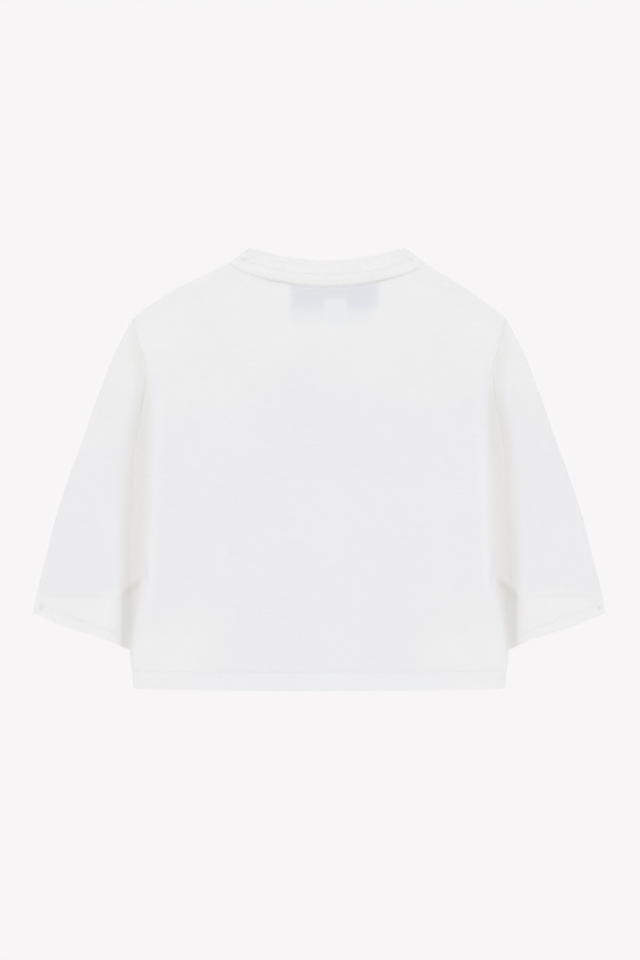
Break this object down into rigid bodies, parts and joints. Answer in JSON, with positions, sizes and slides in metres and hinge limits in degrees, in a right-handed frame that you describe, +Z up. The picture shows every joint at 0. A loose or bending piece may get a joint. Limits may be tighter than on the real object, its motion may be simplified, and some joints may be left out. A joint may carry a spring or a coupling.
{
  "type": "long-sleeve t-shirt",
  "caption": "Baby's long-sleeve T-shirt of thin cotton jersey, laid flat on its front with the back up and the sleeves beside the body.",
  "frame": {"origin": "on the surface that the garment lies on, under the middle of the garment", "axes": "+X across the body to the right as seen from above, +Y from the hem up to the neck, +Z up from the surface through the front and then the back"},
  "size_m": [0.4232, 0.3275, 0.008],
  "materials": {
    "jersey": "matt ivory-white cotton jersey",
    "rib": "matt ivory-white cotton rib",
    "label": "smooth cool-white woven ribbon, blank"
  },
  "bodies": {
    "root": {"back_panel": "jersey", "front_panel": "jersey", "sleeve_left": "jersey", "sleeve_right": "jersey", "neckband": "rib", "neck_label": "label", "size_tab": "label"}
  },
  "joints": []
}
